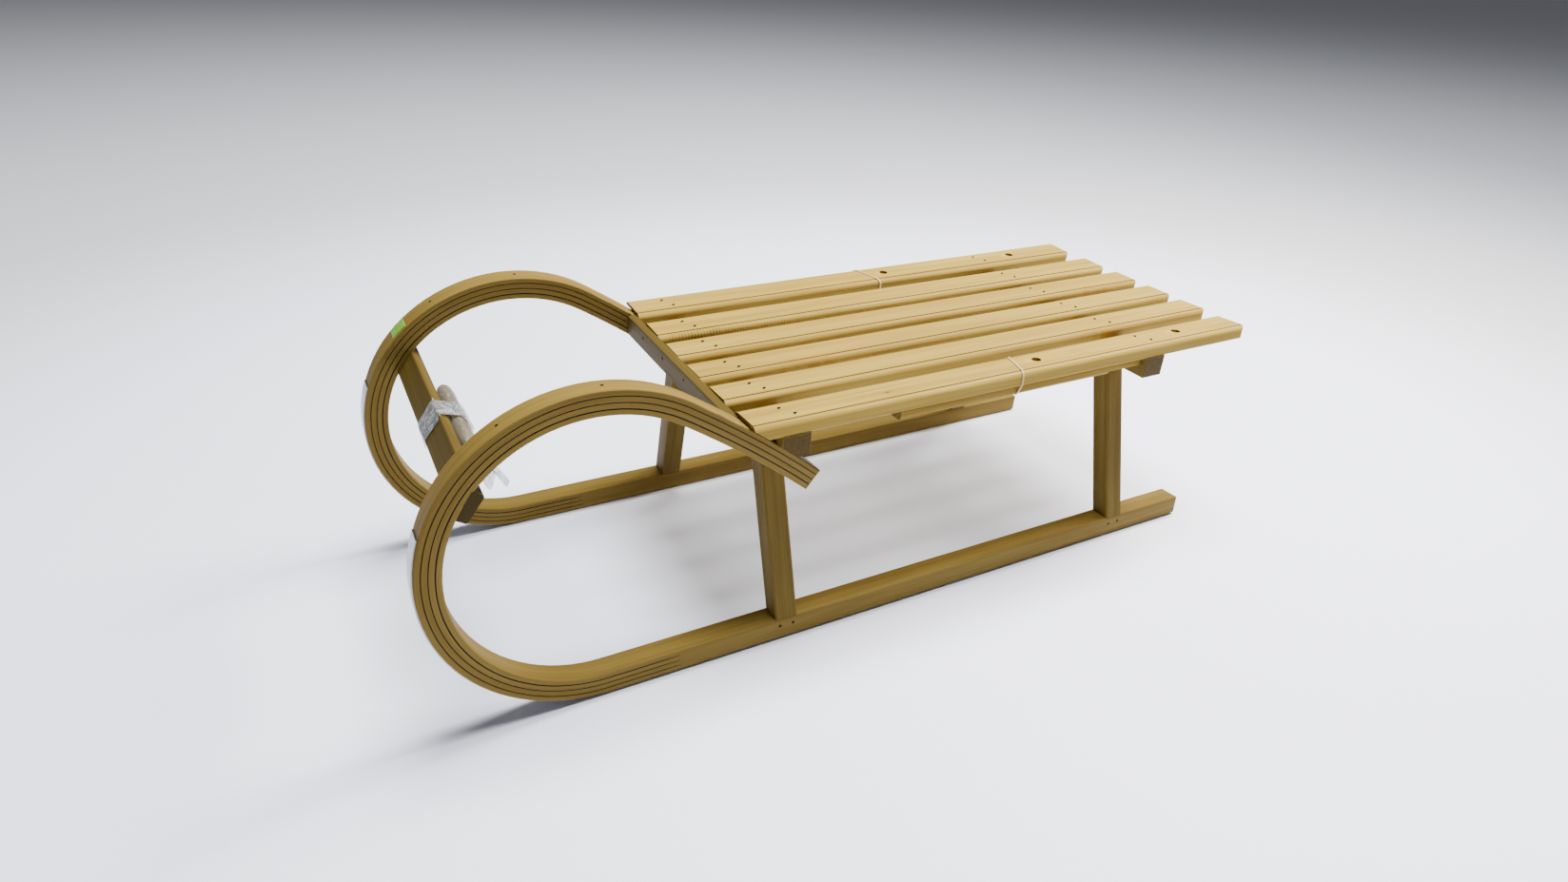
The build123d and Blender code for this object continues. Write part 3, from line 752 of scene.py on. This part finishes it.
class TOBOGGAN_OT_stage(bpy.types.Operator):
    """Pale floor, soft studio light and the camera"""
    bl_idname = "toboggan.stage"
    bl_label = "Stage"

    def execute(self, context):
        settings = context.scene.toboggan_stage
        floor = Tree("floor")
        x, y, z = floor.split(floor.place)
        away = floor.distance(x, y)
        # painted shade: the floor grows greyer with distance from the sled, for the dimmer light far off
        far_shade_share = floor.rise(away, settings.far_shade_start, settings.far_shade_start + 1.1)
        material = floor.finish(floor.mix(far_shade_share, settings.floor, settings.far_floor_shade), 0.6)
        reach = np.array([0.0, 1.0, 3.0, 9.0, 40.0])
        turn = np.linspace(0, 2 * np.pi, 64, endpoint=False)
        spots = np.stack([reach[:, None] * np.cos(turn), reach[:, None] * np.sin(turn),
                          np.zeros((len(reach), len(turn)))], axis=-1)
        ground = grid_mesh("floor", spots, material, close_v=True)
        world = bpy.data.worlds.new("studio")
        world.use_nodes = True
        world.node_tree.nodes["Background"].inputs["Color"].default_value = (0.86, 0.88, 0.96, 1)
        world.node_tree.nodes["Background"].inputs["Strength"].default_value = 0.16
        context.scene.world = world
        lights = [
            self.light(context, "key", (-1.7, -0.1, 2.0), (0, 0, 0.1), 0.9,
                       settings.key, (1.0, 0.97, 0.93)),
            self.light(context, "top", (-0.6, -0.3, 5.0), (0, 0, 0.0), 2.6,
                       settings.key * TOP_SHARE, (0.93, 0.96, 1.0)),
        ]
        data = bpy.data.cameras.new("camera")
        data.lens = settings.lens
        data.sensor_width = 36.0
        data.clip_start = 0.02
        camera = bpy.data.objects.new("camera", data)
        context.scene.collection.objects.link(camera)
        place = Vector((0.5793, 0.9343, 0.7383))
        target = Vector((0.0718, 0.0233, 0.1586))
        forward = (target - place).normalized()
        right = forward.cross(Vector((0, 0, 1))).normalized()
        down = -right.cross(forward)
        turned_right = right * math.cos(CAMERA_ROLL) + down * math.sin(CAMERA_ROLL)
        turned_down = down * math.cos(CAMERA_ROLL) - right * math.sin(CAMERA_ROLL)
        turn = Matrix((turned_right, -turned_down, -forward)).transposed()
        camera.matrix_world = Matrix.Translation(place) @ turn.to_4x4()
        context.scene.camera = camera
        return {"FINISHED"}

    def light(self, context, name, place, target, size, power, colour):
        data = bpy.data.lights.new(name, "AREA")
        data.shape = "DISK"
        data.size = size
        data.energy = power
        data.color = colour
        made = bpy.data.objects.new(name, data)
        made.location = place
        way = Vector(target) - Vector(place)
        made.rotation_euler = way.to_track_quat("-Z", "Y").to_euler()
        context.scene.collection.objects.link(made)
        return made


class TOBOGGAN_PT_panel(bpy.types.Panel):
    """Lists the pieces and their settings"""
    bl_idname = "TOBOGGAN_PT_panel"
    bl_label = "Toboggan"
    bl_space_type = "VIEW_3D"
    bl_region_type = "UI"
    bl_category = "Toboggan"

    def draw(self, context):
        for group in SETTINGS:
            box = self.layout.box()
            settings = getattr(context.scene, group)
            for key in settings.__annotations__:
                box.prop(settings, key)
        for operator in OPERATORS:
            self.layout.operator(operator.bl_idname)


SETTINGS = {"toboggan_wood": WoodSettings, "toboggan_trim": TrimSettings,
            "toboggan_film": FilmSettings, "toboggan_stage": StageSettings}
OPERATORS = (TOBOGGAN_OT_runners, TOBOGGAN_OT_seat, TOBOGGAN_OT_frame, TOBOGGAN_OT_steel,
             TOBOGGAN_OT_elastics, TOBOGGAN_OT_cord_bag, TOBOGGAN_OT_sticker, TOBOGGAN_OT_stage)


def register():
    for group in (*SETTINGS.values(), *OPERATORS, TOBOGGAN_PT_panel):
        bpy.utils.register_class(group)
    for key, group in SETTINGS.items():
        setattr(bpy.types.Scene, key, PointerProperty(type=group))


def unregister():
    for key in SETTINGS:
        delattr(bpy.types.Scene, key)
    for group in (TOBOGGAN_PT_panel, *OPERATORS[::-1], *SETTINGS.values()):
        bpy.utils.unregister_class(group)


def main():
    register()
    bpy.ops.toboggan.runners()
    bpy.ops.toboggan.seat()
    bpy.ops.toboggan.frame()
    bpy.ops.toboggan.steel()
    bpy.ops.toboggan.elastics()
    bpy.ops.toboggan.cord_bag()
    bpy.ops.toboggan.sticker()
    bpy.ops.toboggan.stage()


if __name__ == "__main__":
    main()
